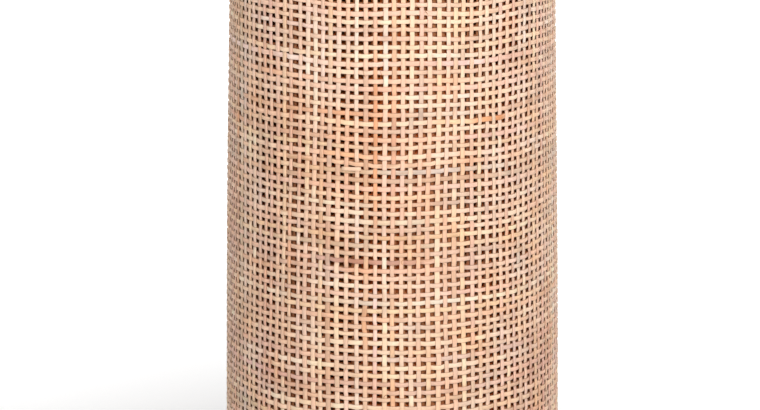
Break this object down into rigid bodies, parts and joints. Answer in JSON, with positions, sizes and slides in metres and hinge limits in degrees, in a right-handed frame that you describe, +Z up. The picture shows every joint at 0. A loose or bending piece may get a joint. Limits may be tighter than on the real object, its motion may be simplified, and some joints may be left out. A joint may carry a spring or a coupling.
{
  "type": "roll of cane webbing",
  "caption": "Standing roll of open-weave cane webbing wound on a cardboard tube and held closed by slip-off twine ties; the tube draws out along its axis.",
  "frame": {"origin": "centre of the roll's foot, on the floor", "axes": "+Z up along the roll's axis, -Y the front, the sheet's free end at the back"},
  "size_m": [0.2028, 0.2028, 0.465],
  "materials": {
    "cane": "satin",
    "cane_inner": "satin",
    "cardboard": "matte",
    "twine": "matte"
  },
  "bodies": {
    "roll": {"webbing_inner_turns": "cane_inner", "webbing_outer_turn": "cane"},
    "core": {"core_tube": "cardboard"},
    "upper_tie": {"tie_upper": "twine"},
    "lower_tie": {"tie_lower": "twine"}
  },
  "joints": [
    {"name": "core_slide", "type": "slide", "parent": "roll", "child": "core", "axis": [0, 0, 1], "range_m": [0, 0.47]},
    {"name": "upper_tie_slip", "type": "slide", "parent": "roll", "child": "upper_tie", "axis": [0, 0, 1], "range_m": [0, 0.08]},
    {"name": "lower_tie_slip", "type": "slide", "parent": "roll", "child": "lower_tie", "axis": [0, 0, 1], "range_m": [0, 0.3]}
  ]
}
